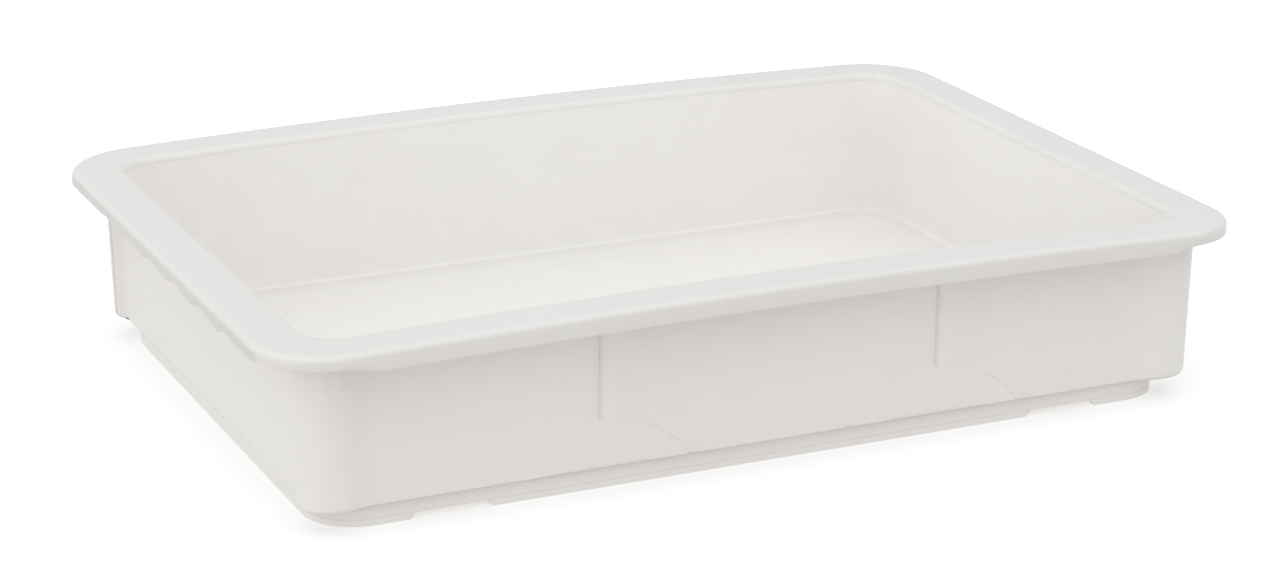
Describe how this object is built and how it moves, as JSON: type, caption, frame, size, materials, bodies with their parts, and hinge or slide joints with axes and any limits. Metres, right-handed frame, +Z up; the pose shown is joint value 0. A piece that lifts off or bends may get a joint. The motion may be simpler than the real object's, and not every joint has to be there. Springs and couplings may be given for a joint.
{
  "type": "deep processing tray",
  "caption": "Deep rectangular moulded tray with a wide crowned rim, finger-grip ends, corner stacking posts, grooved long walls and a footed plinth.",
  "frame": {"origin": "centre of the footprint, on the plane the feet stand on", "axes": "+X along the tray's length, +Y across it towards the rear wall, +Z up out of the basin"},
  "size_m": [0.457, 0.33, 0.0868],
  "materials": {
    "white_plastic": "semi-gloss moulded white plastic"
  },
  "bodies": {
    "root": {"floor_panel": "white_plastic", "front_foot": "white_plastic", "front_left_plinth_corner": "white_plastic", "front_left_post": "white_plastic", "front_left_rim_corner": "white_plastic", "front_left_skirt_corner": "white_plastic", "front_plinth": "white_plastic", "front_right_plinth_corner": "white_plastic", "front_right_post": "white_plastic", "front_right_rim_corner": "white_plastic", "front_right_skirt_corner": "white_plastic", "front_rim": "white_plastic", "front_skirt": "white_plastic", "front_wall": "white_plastic", "left_foot": "white_plastic", "left_plinth": "white_plastic", "left_rim": "white_plastic", "left_skirt": "white_plastic", "left_wall": "white_plastic", "rear_foot": "white_plastic", "rear_left_plinth_corner": "white_plastic", "rear_left_post": "white_plastic", "rear_left_rim_corner": "white_plastic", "rear_left_skirt_corner": "white_plastic", "rear_plinth": "white_plastic", "rear_right_plinth_corner": "white_plastic", "rear_right_post": "white_plastic", "rear_right_rim_corner": "white_plastic", "rear_right_skirt_corner": "white_plastic", "rear_rim": "white_plastic", "rear_skirt": "white_plastic", "rear_wall": "white_plastic", "right_foot": "white_plastic", "right_plinth": "white_plastic", "right_rim": "white_plastic", "right_skirt": "white_plastic", "right_wall": "white_plastic"}
  },
  "joints": []
}
